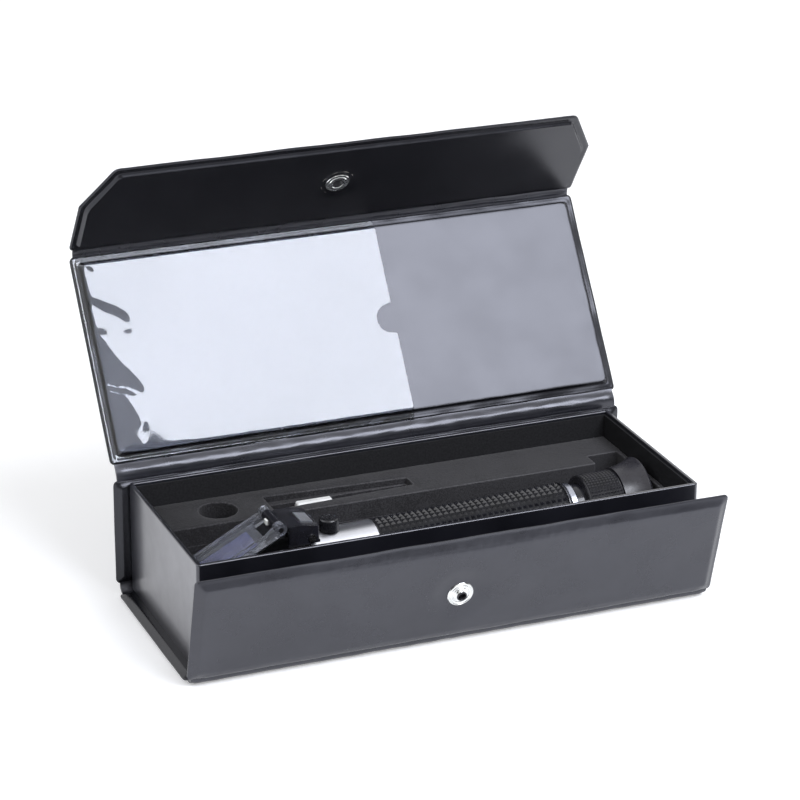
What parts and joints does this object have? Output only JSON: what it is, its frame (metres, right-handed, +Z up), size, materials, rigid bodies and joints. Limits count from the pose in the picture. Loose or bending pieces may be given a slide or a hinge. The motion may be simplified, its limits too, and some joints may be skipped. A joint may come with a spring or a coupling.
{
  "type": "handheld refractometer in hinged case",
  "caption": "Handheld optical refractometer lying in foam in a padded snap case whose lid, flap and front panel fold open.",
  "frame": {"origin": "middle of the base's underside", "axes": "+X along the case towards the eyepiece, +Y from the front panel to the spine, +Z up"},
  "size_m": [0.212, 0.1476, 0.1642],
  "materials": {
    "leatherette": "satin",
    "greyboard": "matte",
    "black_card": "matte",
    "foam": "matte",
    "clear_film": "gloss",
    "nickel": "polished",
    "satin_aluminium": "satin",
    "black_rubber": "matte",
    "black_plastic": "satin",
    "black_metal": "satin",
    "optical_glass": "gloss",
    "clear_acrylic": "gloss",
    "steel": "satin",
    "brass": "satin",
    "led_white": "gloss",
    "board_green": "satin",
    "white_plastic": "gloss"
  },
  "bodies": {
    "case": {"base_lining": "leatherette", "base_outer_skin": "leatherette", "base_board": "greyboard", "spine_lining": "leatherette", "spine_outer_skin": "leatherette", "spine_board": "greyboard", "spine_fold_strip": "leatherette", "lid_hinge_strip": "leatherette", "tray_box": "leatherette", "tray_lining": "black_card", "foam_base_sheet": "foam", "foam_middle_sheet": "foam", "foam_top_sheet": "foam"},
    "lid": {"lid_lining": "leatherette", "lid_outer_skin": "leatherette", "lid_board": "greyboard", "pocket_film": "clear_film", "flap_hinge_strip": "leatherette"},
    "flap": {"flap_lining": "leatherette", "flap_outer_skin": "leatherette", "flap_board": "greyboard", "snap_socket": "nickel", "snap_cap": "nickel"},
    "front_panel": {"front_hinge_strip": "leatherette", "front_outer_skin": "leatherette", "front_lining": "leatherette", "front_board": "greyboard", "snap_stud": "nickel", "snap_rivet_back": "nickel"},
    "refractometer": {"barrel": "satin_aluminium", "grip_sleeve": "black_rubber", "chrome_ring": "nickel", "eyepiece_tube": "black_plastic", "reticle_disc": "optical_glass", "bimetal_strip": "steel", "calibration_bush": "brass", "prism_housing": "black_metal", "prism": "optical_glass", "hinge_pin": "steel", "led_housing": "black_plastic", "led_sole": "black_plastic", "led_chip": "led_white", "housing_screws": "steel", "battery_contact": "brass", "coin_cells": "steel", "circuit_board": "board_green"},
    "plate": {"daylight_plate": "clear_acrylic"},
    "button": {"led_button": "satin_aluminium"},
    "diopter": {"diopter_ring": "black_plastic", "eyecup": "black_rubber"},
    "ocular": {"lens_cell": "black_plastic", "eye_lens": "optical_glass", "field_lens": "optical_glass", "lens_keeper": "satin_aluminium"},
    "screw": {"calibration_screw": "steel"},
    "objective": {"objective_cell": "satin_aluminium", "objective_lens": "optical_glass"},
    "cap": {"calibration_cap": "black_rubber"},
    "screwdriver": {"screwdriver_handle": "white_plastic", "screwdriver_blade": "steel"}
  },
  "joints": [
    {"name": "lid_hinge", "type": "hinge", "parent": "case", "child": "lid", "pos_m": [0, 0.042, 0.0502], "axis": [-1, 0, 0], "range_deg": [-124.4, 55.6]},
    {"name": "flap_fold", "type": "hinge", "parent": "lid", "child": "flap", "pos_m": [0, 0.09183, 0.12298], "axis": [-1, 0, 0], "range_deg": [-20.7, 69.3]},
    {"name": "front_panel_hinge", "type": "hinge", "parent": "case", "child": "front_panel", "pos_m": [0, -0.042, 0.0017], "axis": [1, 0, 0], "range_deg": [-14.9, 6.8]},
    {"name": "refractometer_lift", "type": "slide", "parent": "case", "child": "refractometer", "axis": [0, 0, 1], "range_m": [0, 0.06]},
    {"name": "plate_hinge", "type": "hinge", "parent": "refractometer", "child": "plate", "pos_m": [-0.05802, -0.0022, 0.04208], "axis": [0, 1, 0], "range_deg": [0, 105]},
    {"name": "button_press", "type": "slide", "parent": "refractometer", "child": "button", "axis": [0.0313, 0, -0.9995], "range_m": [0, 0.0007], "stiffness_N_per_m": 60, "springref_m": -0.0005},
    {"name": "diopter_turn", "type": "hinge", "parent": "refractometer", "child": "diopter", "pos_m": [0.07696, -0.0022, 0.02715], "axis": [0.9995, 0, 0.0313], "range_deg": [-270, 270]},
    {"name": "ocular_travel", "type": "slide", "parent": "refractometer", "child": "ocular", "axis": [0.9995, 0, 0.0313], "range_m": [-0.00115, 0.00115]},
    {"name": "calibration_turn", "type": "hinge", "parent": "refractometer", "child": "screw", "pos_m": [-0.0353, -0.0022, 0.03364], "axis": [-0.0313, 0, 0.9995], "range_deg": [-186, 186]},
    {"name": "objective_shift", "type": "slide", "parent": "refractometer", "child": "objective", "axis": [-0.0313, 0, 0.9995], "range_m": [-0.00025, 0.00025]},
    {"name": "cap_pull", "type": "slide", "parent": "refractometer", "child": "cap", "axis": [-0.0313, 0, 0.9995], "range_m": [0, 0.012]},
    {"name": "screwdriver_lift", "type": "slide", "parent": "case", "child": "screwdriver", "axis": [0, 0, 1], "range_m": [0, 0.045]}
  ],
  "couplings": [
    {"joint": "front_panel_hinge", "follows": "lid_hinge", "ratio": 0.11897},
    {"joint": "ocular_travel", "follows": "diopter_turn", "m_per_rad": 0.00023873},
    {"joint": "calibration_turn", "follows": "objective_shift", "rad_per_m": 12566}
  ]
}
